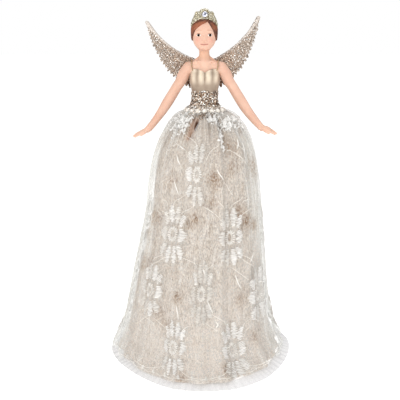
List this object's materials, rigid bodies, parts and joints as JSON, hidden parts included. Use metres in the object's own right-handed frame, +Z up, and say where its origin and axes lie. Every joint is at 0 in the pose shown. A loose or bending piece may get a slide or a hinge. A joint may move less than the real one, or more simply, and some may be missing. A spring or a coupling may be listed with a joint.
{
  "type": "angel tree topper",
  "caption": "Angel doll with tiara, glittered wings and pinned arms on a hollow card cone dressed in a padded skirt, lace overskirt and organza hem, to stand or slip over a tree top.",
  "frame": {"origin": "centre of the base rim, on the surface the cone stands on", "axes": "+Z up along the cone's axis to the tiara, the figure faces -Y, its own left hand is towards +X"},
  "size_m": [0.168, 0.168, 0.3],
  "materials": {
    "card": "plain rolled card",
    "cork": "pressed wood plug",
    "dowel": "sanded dowel",
    "wadding": "stiff net and wadding",
    "underskirt": "brushed beige cloth with brown mottling",
    "lace": "white net lace with embroidered flowers",
    "organza": "pleated white organza",
    "skin": "painted resin, satin",
    "bodice": "champagne gold satin paint",
    "gold_cord": "thin gold cord",
    "glitter": "champagne glitter flakes",
    "pearl": "pearlised",
    "wire": "bare wire",
    "hair": "painted resin hair, auburn",
    "tiara": "pale gold with fine glitter",
    "gem": "clear cut stone"
  },
  "bodies": {
    "stand": {"card_cone": "card", "waist_plug": "cork", "support_dowel": "dowel", "petticoat": "wadding", "underskirt": "underskirt", "lace_overskirt": "lace", "hem_ribbon": "organza", "torso": "skin", "bodice": "bodice", "strap_left": "gold_cord", "strap_right": "gold_cord", "waistband": "glitter", "pearl_belt": "pearl", "wing_wire_left": "wire", "wing_wire_right": "wire"},
    "head": {"head": "skin", "neck_pin": "wire", "hair_cap": "hair", "hair_bun": "hair", "tiara": "tiara", "tiara_gem": "gem"},
    "arm_left": {"arm_left": "skin", "shoulder_pin_left": "wire"},
    "arm_right": {"arm_right": "skin", "shoulder_pin_right": "wire"},
    "wing_left": {"wing_left": "glitter"},
    "wing_right": {"wing_right": "glitter"}
  },
  "joints": [
    {"name": "head_turn", "type": "hinge", "parent": "stand", "child": "head", "pos_m": [0, 0, 0.26675], "axis": [0, 0, 1], "range_deg": [-50, 50]},
    {"name": "arm_left_swing", "type": "hinge", "parent": "stand", "child": "arm_left", "pos_m": [0.012, 0, 0.2525], "axis": [-1, 0, 0], "range_deg": [-10, 80]},
    {"name": "arm_right_swing", "type": "hinge", "parent": "stand", "child": "arm_right", "pos_m": [-0.012, 0, 0.2525], "axis": [-1, 0, 0], "range_deg": [-10, 80]},
    {"name": "wing_left_fold", "type": "hinge", "parent": "stand", "child": "wing_left", "pos_m": [0.0046, 0.0119, 0.2509], "axis": [0, 0, 1], "range_deg": [-10, 45]},
    {"name": "wing_right_fold", "type": "hinge", "parent": "stand", "child": "wing_right", "pos_m": [-0.0046, 0.0119, 0.2509], "axis": [0, 0, -1], "range_deg": [-10, 45]}
  ]
}
